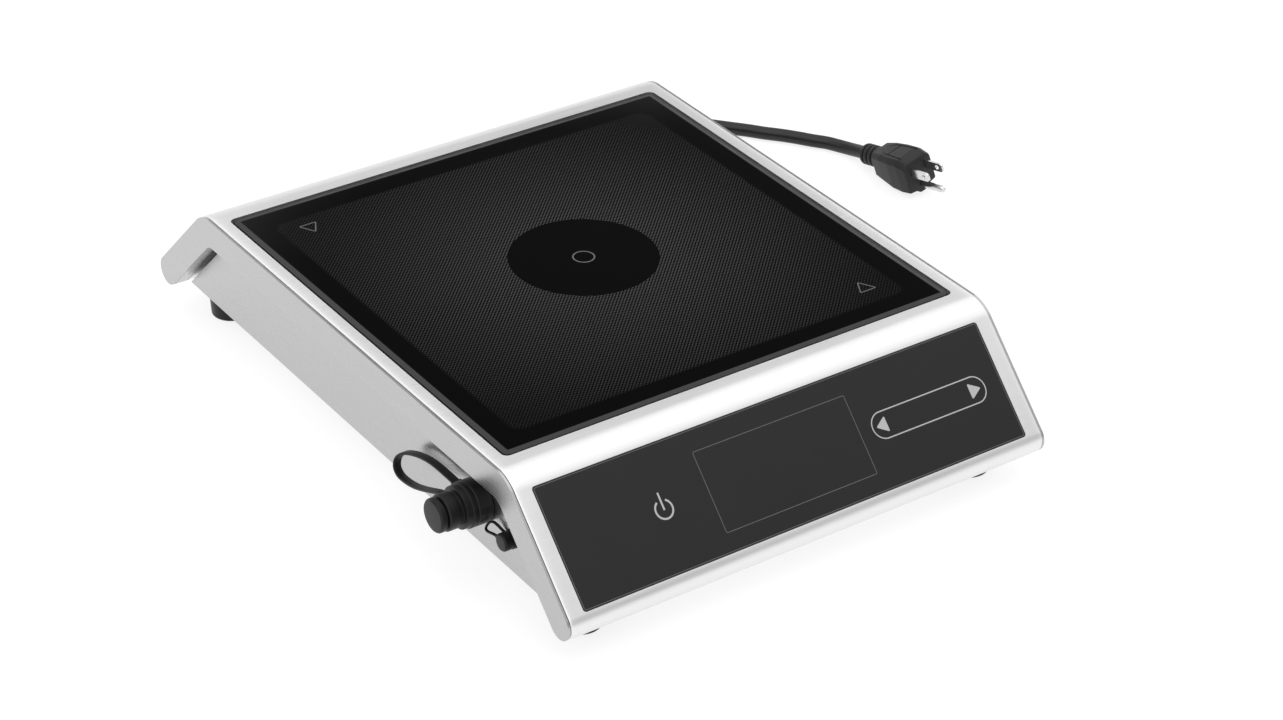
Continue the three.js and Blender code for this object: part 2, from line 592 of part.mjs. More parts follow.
function cord() {
  const neck = [
    [0, -6], [6.4, -6], [6.4, GAP], [9, GAP], [9, 3.2], [8.2, 4], [7.4, 4.6], [5.6, 26], [0, 26],
  ];
  add('cord_strain_relief', atRear(turned(neck, 24)), rubber);
  add('gland_nut', atRear(hexNut(6.7, 10.5, -5, -1.5)), plastic);
  add('mains_cord_lead', tube(CORD_LEAD, 26), rubber);
  add('mains_cord', tube(CORD_FREE, 30), rubber);
  const outer = HANK.fold + CORD_D / 2;
  const outline = new THREE.Shape();
  outline.absarc(HANK.x, HANK.y1, outer, 0, Math.PI);
  outline.absarc(HANK.x, HANK.y0, outer, Math.PI, Math.PI * 2);
  add('mains_cord_hank', alongZ(outline, 0, HANK.layers * CORD_D, 10), rubber);
}

// ---------------------------------------------------------------- plug
// drawn with its face at the origin, blades along +X, blade width along Z, then laid on the floor
const PLUG = { x: 314.6, y: 73.4, z: 19.7, yaw: -86.9, pitch: 12.3, roll: 13 };

function lay(geometry) {
  return geometry
    .rotateX(degrees(PLUG.roll)).rotateY(degrees(-PLUG.pitch)).rotateZ(degrees(PLUG.yaw))
    .translate(PLUG.x, PLUG.y, PLUG.z);
}

function plugSection(x, top, flat, side, bottom) {
  const waist = Math.min(-4, bottom + 3.5);
  const half = [
    [flat, top], [side, top - 3], [side, waist], [side * 0.5, bottom + 2.5], [side * 0.26, bottom],
  ];
  const outline = [...half.slice().reverse(), ...half.map(([y, z]) => [-y, z])];
  return outline.map(([y, z]) => [x, y, z]);
}

function plug() {
  const shell = loft([
    plugSection(-45, 6.2, 5, 6.6, -7),
    plugSection(-41, 6.6, 5.2, 6.8, -7.5),
    plugSection(-33, 9.2, 8, 10, -10.5),
    plugSection(-20, 9.6, 9, 12, -14),
    plugSection(-9, 9.6, 9, 12.4, -17),
    plugSection(0, 7.3, 8.5, 11.7, -17),
  ]);
  const relief = [[0, 40], [7.4, 40]];
  for (const start of [45.6, 49.6, 53.6]) {
    relief.push([7.4, start], [6.1, start + 0.3], [6.1, start + 1.3], [7.4, start + 1.6]);
  }
  relief.push([7.4, 57], [6.6, 58], [0, 58]);
  const body = join(shell, turned(relief, 24).rotateY(-Math.PI / 2));
  add('plug_body', lay(toGeometry(body)), rubber);
  const blade = new THREE.Shape();
  blade.moveTo(GAP, -3.17);
  blade.lineTo(15.5, -3.17);
  blade.lineTo(17, -2);
  blade.lineTo(17, 2);
  blade.lineTo(15.5, 3.17);
  blade.lineTo(GAP, 3.17);
  const eye = new THREE.Path();
  eye.absarc(11.9, 0, 1.6, 0, Math.PI * 2, true);
  blade.holes.push(eye);
  for (const [name, offset] of [['plug_blade_left', -6.35], ['plug_blade_right', 6.35]]) {
    const plate = new THREE.ExtrudeGeometry(blade, { depth: 1.5, bevelEnabled: false, curveSegments: 6 });
    add(name, lay(plate.translate(0, 0, -0.75).rotateX(Math.PI / 2).translate(0, offset, 0)), brass);
  }
  const pin = [[0, GAP], [2.4, GAP], [2.4, 18.6], [1.9, 20.2], [0.9, 21], [0, 21]];
  add('plug_ground_pin', lay(turned(pin, 16).rotateY(Math.PI / 2).translate(0, 0, -11.9)), brass);
}

// ---------------------------------------------------------------- assembly
add('top_cover', topCover(), steel);
add('side_plate_left', sidePlate(-1), steel);
add('side_plate_right', sidePlate(1), steel);
add('base_pan', basePan(), steel);
add('glass_seal', glassSeal(), silicone);
add('glass_top', glassTop(), glassBlack);
add('glass_frame', glassFrame(), zinc);
controls();
probeSocket();
serviceSocket();
inductor();
electronics();
fan();
feet();
cord();
plug();

const group = new THREE.Group();
group.add(...nodes);
group.position.set(CENTRE_X, 0, 0);

export default group;
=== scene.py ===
"""Countertop induction cooktop: the looks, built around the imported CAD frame.

Shapes are written in millimetres with x = 0 on the body's middle, the front towards -y and the
floor at z = 0. piece() turns them into metres in the frame.
"""
import json
import math

import bmesh
import bpy
from mathutils import Matrix, Vector


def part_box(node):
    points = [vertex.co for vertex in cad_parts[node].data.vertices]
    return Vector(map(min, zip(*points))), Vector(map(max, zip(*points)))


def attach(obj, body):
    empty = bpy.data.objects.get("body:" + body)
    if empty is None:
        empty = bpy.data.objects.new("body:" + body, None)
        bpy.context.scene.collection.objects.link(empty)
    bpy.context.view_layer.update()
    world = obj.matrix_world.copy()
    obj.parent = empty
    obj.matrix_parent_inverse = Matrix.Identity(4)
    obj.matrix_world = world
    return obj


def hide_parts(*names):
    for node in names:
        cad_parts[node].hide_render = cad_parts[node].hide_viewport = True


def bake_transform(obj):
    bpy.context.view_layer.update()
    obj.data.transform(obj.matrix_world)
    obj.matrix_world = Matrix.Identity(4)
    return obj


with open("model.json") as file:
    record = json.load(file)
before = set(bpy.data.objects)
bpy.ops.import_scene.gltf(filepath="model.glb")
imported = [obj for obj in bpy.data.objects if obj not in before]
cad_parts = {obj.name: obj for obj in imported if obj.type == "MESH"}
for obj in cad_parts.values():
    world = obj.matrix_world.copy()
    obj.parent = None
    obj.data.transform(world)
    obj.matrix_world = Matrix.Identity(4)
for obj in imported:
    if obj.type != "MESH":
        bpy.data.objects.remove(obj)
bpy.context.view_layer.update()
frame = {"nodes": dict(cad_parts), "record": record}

# ---------------------------------------------------------------- driving dimensions, in mm
MM = 1000.0
SQRT2 = math.sqrt(2.0)
HALF = math.sqrt(0.5)

cover_low, cover_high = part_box("top_cover")
pan_low, pan_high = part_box("base_pan")
CENTRE_X = (cover_low.x + cover_high.x) / 2 * MM  # the body's middle in the frame
HALF_W = (cover_high.x - cover_low.x) / 2 * MM
TOP_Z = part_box("glass_top")[1].z * MM
WALL_X = (pan_high.x - pan_low.x) / 2 * MM  # the pan's side walls
REAR_WALL_Y = 146.0

SHELL_T = 18.5  # outer face to inner face of the C-shaped shell
SHEET = 1.5
SLOPE_SUM = 255.4  # |y| + z on the outer face of a slope
BEND_R = 23.0
LIP_R = SHELL_T / 2
LIP_Z = 25.0
BAND_Z = TOP_Z - SHELL_T
INNER_FILLET = 10.0
RETURN_SUM = 231.8  # beyond the pan's width the cover's inner returns stop at this |y| + z
LIP_Y = SLOPE_SUM - LIP_R * SQRT2 - LIP_Z
BEND_Z = TOP_Z - BEND_R
BEND_Y = SLOPE_SUM - BEND_R * SQRT2 - BEND_Z
ROLL_START = 155.5  # the cover's edges roll down a little beyond this |x|
ROLL_DROP = 0.5
# for each end of the cover: the dark gap to the end plate, the sheet's rounded edge, the plate's bevel
ENDS = {-1: (0.45, 0.28, 0.45), 1: (0.05, 0.1, 0.25)}
PLATE_UNDER = 0.22  # an end plate's edge lies just under the level of the cover's face

GLASS_X = 150.9
GLASS_Y = 149.1
CUTOUT_X = 152.5
CUTOUT_Y = 150.7
PANEL_START = 10.0  # the control glass, down the front slope from the sharp corner
PANEL_LENGTH = 70.5
PANEL_X = 150.5
ZONE_X = -1.0  # middle of the cooking zone
CENTRE_DISC = 44.4  # radius of the clear disc
DOT_PITCH = 1.75
FIELD_X, FIELD_Y, FIELD_SHIFT = 126.0, 124.5, 1.5  # half sizes of the dotted field, and its shift to -y

PROBE = (-126.8, 49.0)  # axes (y, z) of the sockets in the left wall
SERVICE = (-160.8, 43.5)
EXIT = (95.0, 31.0)  # cord gland in the rear wall, as (x, z)
FEET = {  # the front pair stands 3.5 mm forward of the CAD feet, and 1 mm to the right
    "front_left": (-133.0, -193.5), "front_right": (135.0, -193.5),
    "rear_left": (-134.0, 190.0), "rear_right": (134.0, 190.0),
}


# ---------------------------------------------------------------- outlines and solids
def place(point):
    """a point in mm about the body's middle, in metres in the frame"""
    return Vector(((point[0] + CENTRE_X) / MM, point[1] / MM, point[2] / MM))


def arc(cx, cy, r, start, end, steps):
    """points on a circle from one angle to another, in degrees"""
    angles = [math.radians(start + (end - start) * i / steps) for i in range(steps + 1)]
    return [(cx + r * math.cos(a), cy + r * math.sin(a)) for a in angles]


def rounded_rect(x0, x1, y0, y1, r, steps=8):
    return (
        arc(x1 - r, y1 - r, r, 0, 90, steps) + arc(x0 + r, y1 - r, r, 90, 180, steps)
        + arc(x0 + r, y0 + r, r, 180, 270, steps) + arc(x1 - r, y0 + r, r, 270, 360, steps)
    )


def soften(points, radius, closed=False, steps=4):
    """a line of (a, b) points with each corner rounded"""
    count = len(points)
    out = []
    for i, corner in enumerate(points):
        if not closed and i in (0, count - 1):
            out.append(tuple(corner))
            continue
        here = Vector(corner)
        to_last = Vector(points[i - 1]) - here
        to_next = Vector(points[(i + 1) % count]) - here
        reach = min(radius, to_last.length * 0.45, to_next.length * 0.45)
        start = here + to_last.normalized() * reach
        end = here + to_next.normalized() * reach
        for s in range(steps + 1):
            t = s / steps
            out.append(tuple(start * (1 - t) ** 2 + here * 2 * t * (1 - t) + end * t * t))
    return out


def smooth_path(stops, per_span):
    """a centripetal Catmull-Rom line through the stops"""
    stops = [Vector(p) for p in stops]
    points = [stops[0] * 2 - stops[1], *stops, stops[-1] * 2 - stops[-2]]
    line = []
    for i in range(1, len(points) - 2):
        p = points[i - 1:i + 3]
        knot = [0.0]
        for a, b in zip(p, p[1:]):
            knot.append(knot[-1] + math.sqrt((b - a).length))
        for s in range(per_span):
            t = knot[1] + (knot[2] - knot[1]) * s / per_span
            level = list(p)
            for width in (1, 2, 3):
                level = [
                    between(level[j], level[j + 1], knot, j, width, t) for j in range(len(level) - 1)
                ]
            line.append(level[0])
    line.append(stops[-1])
    return line


def between(a, b, knot, j, width, t):
    """one step of the Barry and Goldman pyramid"""
    low, high = {1: (j, j + 1), 2: (j, j + 2), 3: (1, 2)}[width]
    return a * ((knot[high] - t) / (knot[high] - knot[low])) + b * (
        (t - knot[low]) / (knot[high] - knot[low]))


def sections(rings, closed_ends=True):
    """vertices and faces that join rings of equal point counts"""
    count = len(rings[0])
    verts = [tuple(p) for ring in rings for p in ring]
    faces = []
    for s in range(len(rings) - 1):
        for i in range(count):
            j = (i + 1) % count
            faces.append((s * count + i, s * count + j, (s + 1) * count + j, (s + 1) * count + i))
    if closed_ends:
        last = (len(rings) - 1) * count
        faces.append(tuple(reversed(range(count))))
        faces.append(tuple(range(last, last + count)))
    return verts, faces


def merge(*shapes):
    verts, faces = [], []
    for v, f in shapes:
        base = len(verts)
        verts += v
        faces += [tuple(base + i for i in face) for face in f]
    return verts, faces


def along_x(outline, x0, x1):
    return sections([[(x, y, z) for y, z in outline] for x in (x0, x1)])


def along_z(outline, z0, z1):
    return sections([[(x, y, z) for x, y in outline] for z in (z0, z1)])


def slope_point(x, s, depth=0.0):
    """a point on the front slope, s down from the sharp corner, at a depth under the outer face"""
    return (x, TOP_Z - SLOPE_SUM - (s - depth) * HALF, TOP_Z - (s + depth) * HALF)


def on_slope(outline, depth0, depth1):
    return sections([[slope_point(x, s, d) for x, s in outline] for d in (depth0, depth1)])


def turned(profile, where, segments=64):
    """a solid of revolution from (radius, height) pairs; where puts a (side, up, height) point"""
    rings = []
    for r, h in profile:
        ring = arc(0, 0, max(r, 0.001), 0, 360 - 360 / segments, segments - 1)
        rings.append([where(a, b, h) for a, b in ring])
    return sections(rings)


def at_wall(axis):
    return lambda a, b, h: (-WALL_X - h, axis[0] + a, axis[1] + b)


def at_rear(a, b, h):
    return (EXIT[0] + a, REAR_WALL_Y + h, EXIT[1] + b)


def stroke(points, width, closed=False):
    """the outline pairs of a drawn line of that width, as quads in (a, b)"""
    count = len(points)
    sides = []
    for i in range(count):
        last = points[i - 1] if closed or i else points[i]
        ahead = points[(i + 1) % count] if closed or i < count - 1 else points[i]
        run = Vector(ahead) - Vector(last)
        across = Vector((-run.y, run.x)).normalized() * width / 2
        sides.append((Vector(points[i]) + across, Vector(points[i]) - across))
    spans = range(count if closed else count - 1)
    return [
        [sides[i][0], sides[(i + 1) % count][0], sides[(i + 1) % count][1], sides[i][1]]
        for i in spans
    ]


def piece(name, shape, material, body="cooktop", stands_for=(), sharp=40):
    """a mesh object from (vertices in mm, faces) that rides on a body, or on none yet"""
    verts, faces = shape
    mesh = bpy.data.meshes.new(name)
    mesh.from_pydata([place(v) for v in verts], [], faces)
    bm = bmesh.new()
    bm.from_mesh(mesh)
    bmesh.ops.remove_doubles(bm, verts=bm.verts, dist=1e-7)
    bmesh.ops.recalc_face_normals(bm, faces=bm.faces)
    bm.to_mesh(mesh)
    bm.free()
    obj = bpy.data.objects.new(name, mesh)
    bpy.context.scene.collection.objects.link(obj)
    mesh.materials.append(material)
    shade(obj, sharp)
    if body:
        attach(obj, body)
    if stands_for:
        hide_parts(*stands_for)
    return obj


def shade(obj, sharp):
    mesh = obj.data
    mesh.polygons.foreach_set("use_smooth", [True] * len(mesh.polygons))
    mesh.set_sharp_from_angle(angle=math.radians(sharp))


def bevel(obj, width, segments=2, angle=30):
    """rounds an object's edges, in mm"""
    weld = obj.modifiers.new("weld", "WELD")
    weld.merge_threshold = 1e-6
    rounded = obj.modifiers.new("bevel", "BEVEL")
    rounded.width = width / MM
    rounded.segments = segments
    rounded.limit_method = "ANGLE"
    rounded.angle_limit = math.radians(angle)
    rounded.harden_normals = True
    return obj


def carve(obj, *cutters):
    """subtracts closed shapes from an object's mesh"""
    for i, shape in enumerate(cutters):
        tool = piece(f"{obj.name}_tool_{i}", shape, obj.data.materials[0], body=None)
        cut = obj.modifiers.new("cut", "BOOLEAN")
        cut.operation = "DIFFERENCE"
        cut.solver = "EXACT"
        cut.object = tool
        bpy.context.view_layer.update()
        graph = bpy.context.evaluated_depsgraph_get()
        result = bpy.data.meshes.new_from_object(obj.evaluated_get(graph))
        obj.modifiers.remove(cut)
        obj.data = result
        bpy.data.objects.remove(tool)
    shade(obj, 40)


# ---------------------------------------------------------------- camera
CAMERA_LENS = 88.827  # mm, on a sensor 36 mm wide
CAMERA_AT = (CENTRE_X / MM - 0.894454, -1.317206, 1.015642)
CAMERA_TURN = (57.9326, -0.8821, -34.8452)  # degrees


def make_camera():
    """sees the object from the front left, from above"""
    data = bpy.data.cameras.new("camera")
    data.lens = CAMERA_LENS
    data.sensor_width = 36.0
    data.clip_start = 0.05
    data.clip_end = 50.0
    camera = bpy.data.objects.new("camera", data)
    camera.location = CAMERA_AT
    camera.rotation_euler = [math.radians(a) for a in CAMERA_TURN]
    bpy.context.scene.collection.objects.link(camera)
    bpy.context.scene.camera = camera


make_camera()


# ---------------------------------------------------------------- materials
class Shader:
    """a Principled material, and short ways to make the nodes that feed it"""

    def __init__(self, name, **values):
        self.material = bpy.data.materials.new(name)
        self.material.use_nodes = True
        self.tree = self.material.node_tree
        self.shader = self.tree.nodes["Principled BSDF"]
        for socket, value in values.items():
            self.shader.inputs[socket.replace("_", " ")].default_value = value

    def node(self, kind, *inputs, **settings):
        made = self.tree.nodes.new("ShaderNode" + kind)
        for key, value in settings.items():
            setattr(made, key, value)
        for i, value in enumerate(inputs):
            if isinstance(value, bpy.types.NodeSocket):
                self.tree.links.new(value, made.inputs[i])
            elif value is not None:
                made.inputs[i].default_value = value
        return made

    def math(self, operation, *values):
        return self.node("Math", *values, operation=operation).outputs[0]

    def coordinates(self, scale=(1, 1, 1), turn=(0, 0, 0), offset=(0, 0, 0)):
        where = self.node("TexCoord").outputs["Object"]
        return self.node("Mapping", where, offset, turn, scale).outputs[0]

    def noise(self, where, scale, detail=2.0, roughness=0.5):
        made = self.node("TexNoise", where)
        made.inputs["Scale"].default_value = scale
        made.inputs["Detail"].default_value = detail
        made.inputs["Roughness"].default_value = roughness
        return made.outputs[0]

    def spread(self, value, low, high, start=0.0, end=1.0):
        """maps start..end onto low..high"""
        return self.node("MapRange", value, start, end, low, high).outputs[0]

    def length(self, a, b):
        """the length of (a, b)"""
        squares = [self.math("MULTIPLY", value, value) for value in (a, b)]
        return self.math("SQRT", self.math("ADD", *squares))

    def mix(self, factor, a, b):
        return self.node("MixRGB", factor, a, b).outputs[0]

    def feed(self, socket, value):
        self.tree.links.new(value, self.shader.inputs[socket])

    def bump(self, height, strength, distance):
        made = self.node("Bump", strength, distance)
        self.tree.links.new(height, made.inputs["Height"])
        self.feed("Normal", made.outputs[0])


def grey(level):
    return (level, level, level, 1.0)


def brushed_metal(name, level, low, high, along=(3, 400, 400), tint=(1, 1, 1), contrast=0.06):
    """metal with fine lines along one axis, and patches that are a little duller"""
    s = Shader(name, Metallic=1.0)
    lines = s.noise(s.coordinates(along), 8.0, 3.0, 0.6)
    patches = s.noise(s.coordinates(), 14.0, 2.0)
    dull = s.math("MULTIPLY_ADD", patches, 0.35, s.math("MULTIPLY", lines, 0.65))
    s.feed("Roughness", s.spread(dull, low, high, 0.3, 0.7))
    dark = (*(c * level * (1 - contrast) for c in tint), 1.0)
    light = (*(min(c * level * (1 + contrast), 1.0) for c in tint), 1.0)
    s.feed("Base Color", s.mix(s.spread(lines, 0.0, 1.0, 0.35, 0.65), dark, light))
    s.bump(lines, 0.07, 0.0002)
    return s.material


def moulded(name, level, rough, grain=2600.0, bump=0.25, tint=(1, 1, 1), specular=0.5):
    """plastic or rubber with a fine spark-eroded grain"""
    s = Shader(name)
    s.shader.inputs["Specular IOR Level"].default_value = specular
    fine = s.noise(s.coordinates(), grain, 2.0)
    broad = s.noise(s.coordinates(), 60.0, 3.0)
    dark = (*(c * level * 0.85 for c in tint), 1.0)
    light = (*(c * level * 1.15 for c in tint), 1.0)
    s.feed("Base Color", s.mix(s.spread(broad, 0.0, 1.0, 0.3, 0.7), dark, light))
    s.feed("Roughness", s.spread(fine, rough - 0.06, rough + 0.06, 0.3, 0.7))
    s.bump(fine, bump, 0.0001)
    return s.material


def cooking_glass():
    """black glass ceramic with a printed field of fine diagonal dots, clear in a centre disc; the dots
    carry a painted highlight, brighter near the middle
    """
    s = Shader("cooking_glass", Roughness=0.06)
    s.shader.inputs["Specular IOR Level"].default_value = 0.1
    where = s.node("TexCoord").outputs["Object"]
    x, y, _ = s.node("SeparateXYZ", where).outputs
    x = s.math("MULTIPLY_ADD", x, MM, -(CENTRE_X + ZONE_X))
    y = s.math("MULTIPLY", y, MM)
    # dots on a lattice turned by 45 degrees
    offsets = []
    for operation in ("ADD", "SUBTRACT"):
        cells = s.math("DIVIDE", s.math(operation, x, y), DOT_PITCH * SQRT2)
        offsets.append(s.math("SUBTRACT", s.math("FRACT", cells), 0.5))
    dots = s.spread(s.length(*offsets), 1.0, 0.0, 0.26, 0.4)
    # the field: a rounded rectangle with a soft border, without the disc
    radius = s.length(x, y)
    past = []
    for value, half_size in ((x, FIELD_X), (s.math("ADD", y, FIELD_SHIFT), FIELD_Y)):
        past.append(s.math("MAXIMUM", s.math("SUBTRACT", s.math("ABSOLUTE", value), half_size), 0.0))
    field = s.spread(s.length(*past), 1.0, 0.0, 6.0, 8.4)
    field = s.math("MULTIPLY", field, s.spread(radius, 0.0, 1.0, CENTRE_DISC - 0.2, CENTRE_DISC + 0.2))
    # painted highlight: the dots are made brighter near the middle and dimmer towards the edges
    painted_highlight = s.spread(radius, 0.062, 0.012, 45.0, 175.0)  # brighter near the middle
    level = s.math("MULTIPLY_ADD", s.math("MULTIPLY", dots, field), painted_highlight, 0.0016)
    blue = s.math("MULTIPLY", level, 1.03)
    s.feed("Base Color", s.node("CombineColor", level, level, blue).outputs[0])
    s.feed("Roughness", s.spread(s.noise(s.coordinates(), 35.0, 3.0), 0.045, 0.075, 0.3, 0.7))
    return s.material


def gloss(name, level, rough, specular=0.5):
    """smooth glass or lens with faint waviness"""
    s = Shader(name)
    s.shader.inputs["Specular IOR Level"].default_value = specular
    waves = s.noise(s.coordinates(), 25.0, 2.0)
    s.feed("Roughness", s.spread(waves, rough, rough * 1.6, 0.3, 0.7))
    s.feed("Base Color", s.mix(waves, grey(level * 0.9), grey(level * 1.1)))
    return s.material


def ink(name, level):
    """printed ink, slightly uneven"""
    s = Shader(name)
    mottle = s.noise(s.coordinates(), 4000.0, 1.0)
    s.feed("Base Color", s.mix(mottle, grey(level * 0.9), grey(level * 1.1)))
    s.feed("Roughness", s.spread(mottle, 0.35, 0.5))
    return s.material


STEEL = brushed_metal("brushed_steel", 0.8, 0.34, 0.42, contrast=0.02)
# painted shade: the cover's brushed steel again, made darker, for the end plates and the pan, whose sides
# face away from the light
SHADED_STEEL = brushed_metal("brushed_steel_end_shaded", 0.49, 0.24, 0.32, along=(400, 3, 400),
                          contrast=0.03)
ZINC = brushed_metal("zinc", 0.5, 0.35, 0.5, along=(60, 60, 60))
BRASS = brushed_metal("plated_brass", 0.72, 0.16, 0.28, along=(500, 20, 500))
COOKING_GLASS = cooking_glass()
GLASS_EDGE = gloss("glass_edge", 0.034, 0.3, specular=0.15)
CONTROL_GLASS = gloss("control_glass", 0.01, 0.05, specular=0.4)
SILICONE = moulded("silicone", 0.05, 0.55, grain=1500.0, bump=0.1, specular=0.3)
RUBBER = moulded("rubber", 0.006, 0.4, specular=0.25)
CORD_RUBBER = moulded("cord_rubber", 0.007, 0.3, grain=1800.0, bump=0.1, specular=0.4)
PLUG_RUBBER = moulded("plug_rubber", 0.013, 0.45, grain=2200.0, specular=0.3)
PLASTIC = moulded("black_plastic", 0.009, 0.4, specular=0.3)
INK = ink("white_ink", 0.4)
# faint print, and also the painted highlight line round the control glass's edge
FAINT_INK_AND_HIGHLIGHT = ink("faint_ink_and_highlight", 0.09)

MATERIALS = {
    "steel": SHADED_STEEL,
    "zinc": ZINC,
    "cook_glass": COOKING_GLASS,
    "control_glass": CONTROL_GLASS,
    "rubber": RUBBER,
    "plastic": PLASTIC,
    "board": moulded("circuit_board", 0.1, 0.4, grain=900.0, tint=(0.2, 1.0, 0.4)),
    "copper": brushed_metal("copper", 0.75, 0.25, 0.4, along=(200, 200, 200), tint=(1, 0.5, 0.3)),
    "ferrite": moulded("ferrite", 0.03, 0.75, grain=3000.0, bump=0.5),
    "aluminium": brushed_metal("aluminium", 0.7, 0.3, 0.45, along=(20, 300, 300)),
    "silicone": SILICONE,
    "brass": BRASS,
    "film": moulded("film_capacitor", 0.2, 0.4, tint=(0.2, 0.4, 1.0)),
}


def dress_frame():
    """gives every CAD node its slot's material"""
    for entry in frame["record"]["subparts"]:
        node = frame["nodes"][entry["node"]]
        node.data.materials.clear()
        node.data.materials.append(MATERIALS[entry["material_slot"]])


# ---------------------------------------------------------------- mains cord
CORD_D = 9.0
HANK_X, HANK_Y0, HANK_Y1, HANK_R = 187.5, -33.0, 127.0, 28.8
LAYER = (4.5, 13.5)  # heights of the hank's two layers
CLIMB = (47, 86)  # the second layer's climb on the far fold: its start and its sweep, in degrees
CORD_LEAD = [
    (95, 172, 31), (95, 176, 31), (95, 184, 29.6), (95, 193, 25.2), (95, 202, 17.8),
    (95, 212, 9.8), (95, 222, 5.7), (95, 232, 4.5), (95, 240, 4.5), (99.8, 258, 4.5),
    (113, 271.2, 4.5), (131, 276, 4.5), (149, 271.2, 4.5), (162.2, 258, 4.5), (167, 240, 4.5),
    (166.2, 231.3, 4.5), (162.8, 223.1, 4.5), (159.8, 214.9, 4.5), (158.7, 206.2, 4.5),
    (158.7, 190, 4.5), (158.7, 170, 4.5), (158.6, 150.3, 4.5),
]
CORD_FREE = [
    (213.9, 154.1, 13.4), (211.9, 158.4, 13), (208.4, 163.4, 12.2), (200.6, 171.3, 10.2),
    (193.4, 177.9, 8), (187.2, 188.7, 5.8), (185, 201, 4.7), (187.2, 213.3, 4.5),
    (193.4, 224.1, 4.5), (203, 232.2, 4.5), (214.7, 236.5, 4.5), (227.3, 236.5, 4.5),
    (239, 232.2, 4.5), (248.2, 224.6, 4.5), (254.6, 217.3, 4.5), (262, 208.8, 4.5),
    (269.4, 200.3, 4.5), (276.3, 191.4, 4.5), (283.7, 183.1, 4.5), (290.7, 174.3, 4.5),
    (297.2, 165, 4.5), (304, 156.1, 4.5), (306.7, 150.6, 4.6), (308.9, 144.9, 4.9),
    (310.5, 138.5, 5.7), (311.4, 131.5, 7.1), (311.8, 123.5, 8.9),
]


def hank_turns():
    """down the left run, round the near fold, back, and over itself for the second layer"""
    low, high = LAYER
    near = [(x, y, low) for x, y in arc(HANK_X, HANK_Y0, HANK_R, 180, 360, 16)]
    over = []
    for i, (x, y) in enumerate(arc(HANK_X, HANK_Y1, HANK_R, 0, 180, 24)):
        climb = min(max((i / 24 * 180 - CLIMB[0]) / CLIMB[1], 0.0), 1.0)
        over.append((x, y, low + (high - low) * climb * climb * (3 - 2 * climb)))
    back = [(x, y, high) for x, y in arc(HANK_X, HANK_Y0, HANK_R, 180, 360, 16)]
    left = [(HANK_X - HANK_R, y, low) for y in (100, 60, 20)]
    right = [(HANK_X + HANK_R, y, low) for y in (20, 60, 100)]
    left_high = [(x, y, high) for x, y, _ in left]
    right_high = [(x, y, high) for x, y, _ in right]
    last = (HANK_X + HANK_R, HANK_Y1, high)
    return [*left, *near, *right, *over, *left_high, *back, *right_high, last]


def make_cord():
    route = smooth_path([*CORD_LEAD, *hank_turns(), *CORD_FREE], 6)
    curve = bpy.data.curves.new("mains_cord_run", "CURVE")
    curve.dimensions = "3D"
    curve.bevel_depth = CORD_D / 2 / MM
    curve.bevel_resolution = 8
    curve.use_fill_caps = True
    spline = curve.splines.new("POLY")
    spline.points.add(len(route) - 1)
    for point, stop in zip(spline.points, route):
        point.co = (*place(stop), 1.0)
    spline.use_smooth = True
    curve.materials.append(CORD_RUBBER)
    cord = bpy.data.objects.new("mains_cord_run", curve)
    bpy.context.scene.collection.objects.link(cord)
    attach(cord, "cooktop")
    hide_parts("mains_cord_lead", "mains_cord", "mains_cord_hank")
    return cord


def cord_tie():
    """a flat rubber strap round the middle of the hank"""
    x0, x1 = HANK_X - HANK_R - CORD_D / 2, HANK_X + HANK_R + CORD_D / 2
    middle = (HANK_Y0 + HANK_Y1) / 2
    outer = rounded_rect(x0 - 1.2, x1 + 1.2, 0.05, 19.2, 5)
    inner = rounded_rect(x0, x1, 0.75, 18.0, 4)
    rings = []
    for y in (middle - 6, middle + 6):
        rings.append([(x, y, z) for x, z in outer])
        rings.append([(x, y, z) for x, z in inner])
    a, b, c, d = rings
    piece("hank_tie", sections([a, b, d, c, a], closed_ends=False), RUBBER)


# ---------------------------------------------------------------- plug
PLUG_AT = (314.6, 73.4, 19.7)
PLUG_TURN = (13.0, -12.3, -86.9)  # degrees about x, then y, then z
PLUG_BODY = [  # distance behind the face, top, half of the flat top, half width, bottom
    (-36.5, 6.8, 5.4, 7.4, -9.5), (-35, 8.4, 6.8, 9.4, -11.5), (-27, 9.3, 8.2, 10.8, -13.2),
    (-17, 9.6, 9, 12.2, -15.8), (-8, 9.6, 9, 12.4, -17), (0, 7.3, 8.5, 11.7, -17),
]
BLADE_SIDE = 6.35  # a blade's distance from the plug's middle
BLADE_TIP, BLADE_HOLE = 17.0, 11.9  # how far out of the face the tip and the hole lie
PIN_DROP = 11.9  # the ground pin's distance under the blades
RELIEF_RINGS = (39.6, 43.6, 47.6)  # grooves round the plug's sleeve, behind the face


def plug_place():
    roll_x, pitch, yaw = (math.radians(angle) for angle in PLUG_TURN)
    turn = Matrix.Rotation(yaw, 4, "Z") @ Matrix.Rotation(pitch, 4, "Y") @ Matrix.Rotation(roll_x, 4, "X")
    return Matrix.Translation(PLUG_AT) @ turn


PLUG_MATRIX = plug_place()


def lay(shape):
    """puts a shape drawn with the plug's face at the origin where the plug lies"""
    verts, faces = shape
    return [tuple(PLUG_MATRIX @ Vector(v)) for v in verts], faces


def plug_outline(top, flat, side, bottom):
    waist = min(-4.0, bottom + 3.5)
    half = [(flat, top), (side, top - 3), (side, waist), (side * 0.5, bottom + 2.5),
            (side * 0.26, bottom)]
    outline = [*reversed(half), *((-y, z) for y, z in half)]
    return soften(outline, 1.0, closed=True, steps=5)


